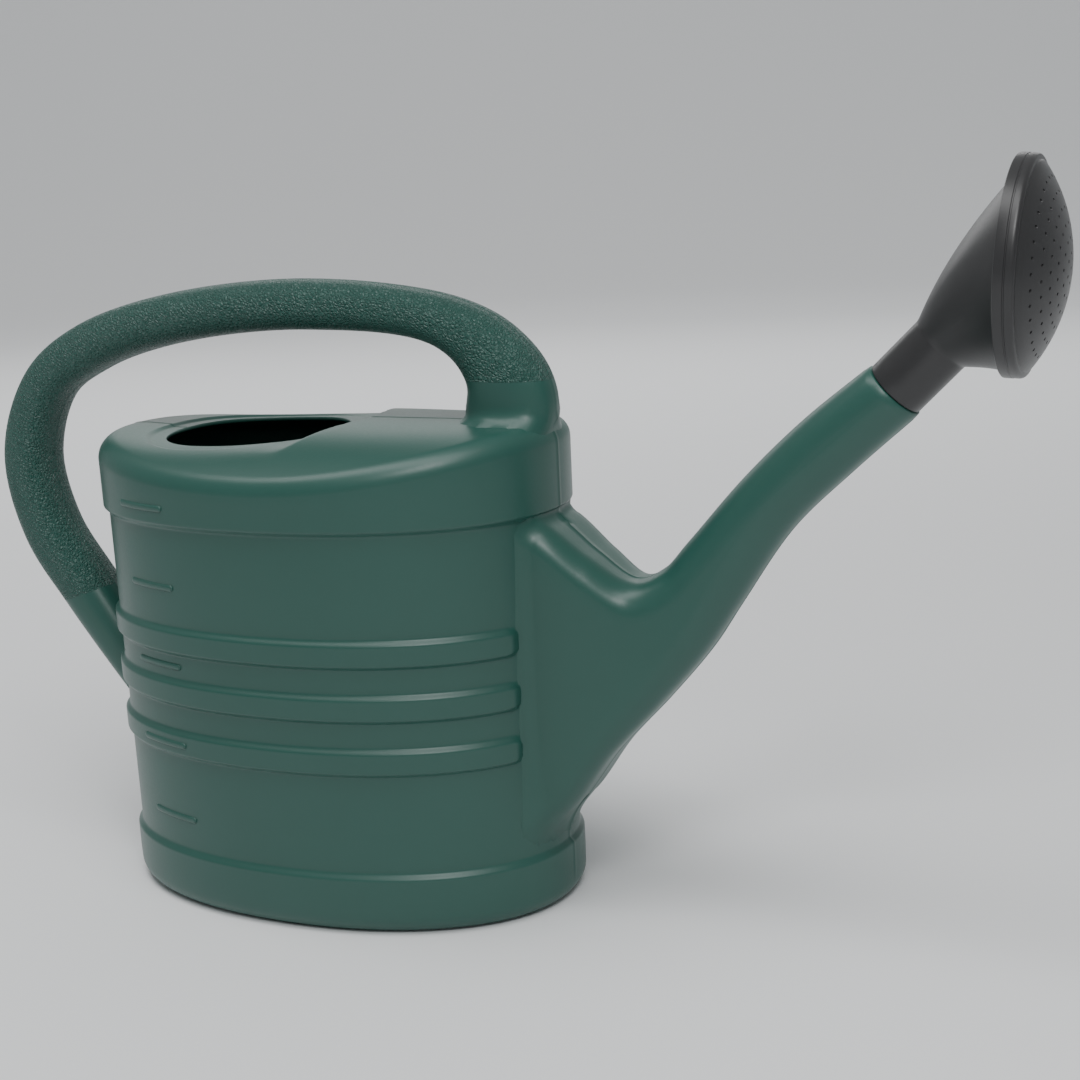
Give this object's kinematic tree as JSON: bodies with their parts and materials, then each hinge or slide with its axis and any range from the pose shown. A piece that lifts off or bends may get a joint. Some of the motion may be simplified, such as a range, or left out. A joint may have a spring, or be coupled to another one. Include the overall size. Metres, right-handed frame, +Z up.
{
  "type": "watering can",
  "caption": "Hollow moulded watering can with a loop handle, an open filler mouth in its deck and a long rising spout that ends in a turning, perforated rose.",
  "frame": {"origin": "on the floor under the centre of the tank's flat base", "axes": "+X from the tank towards the rose, +Z up, Y across the can; Y = 0 is the plane of symmetry and the parting plane of the moulding"},
  "size_m": [0.6344, 0.1958, 0.4034],
  "materials": {
    "can": "satin dark green, grained on the grip",
    "rose": "satin black"
  },
  "bodies": {
    "can": {"tank": "can", "handle": "can", "spout": "can"},
    "rose": {"rose_funnel": "rose"},
    "rose_cap": {"rose_face": "rose"}
  },
  "joints": [
    {"name": "rose_turn", "type": "hinge", "parent": "can", "child": "rose", "pos_m": [0.3223, 0, 0.2905], "axis": [0.7071, 0, 0.7071], "continuous": true},
    {"name": "face_pull", "type": "slide", "parent": "rose", "child": "rose_cap", "axis": [0.9986, 0, -0.0523], "range_m": [0, 0.012]}
  ]
}
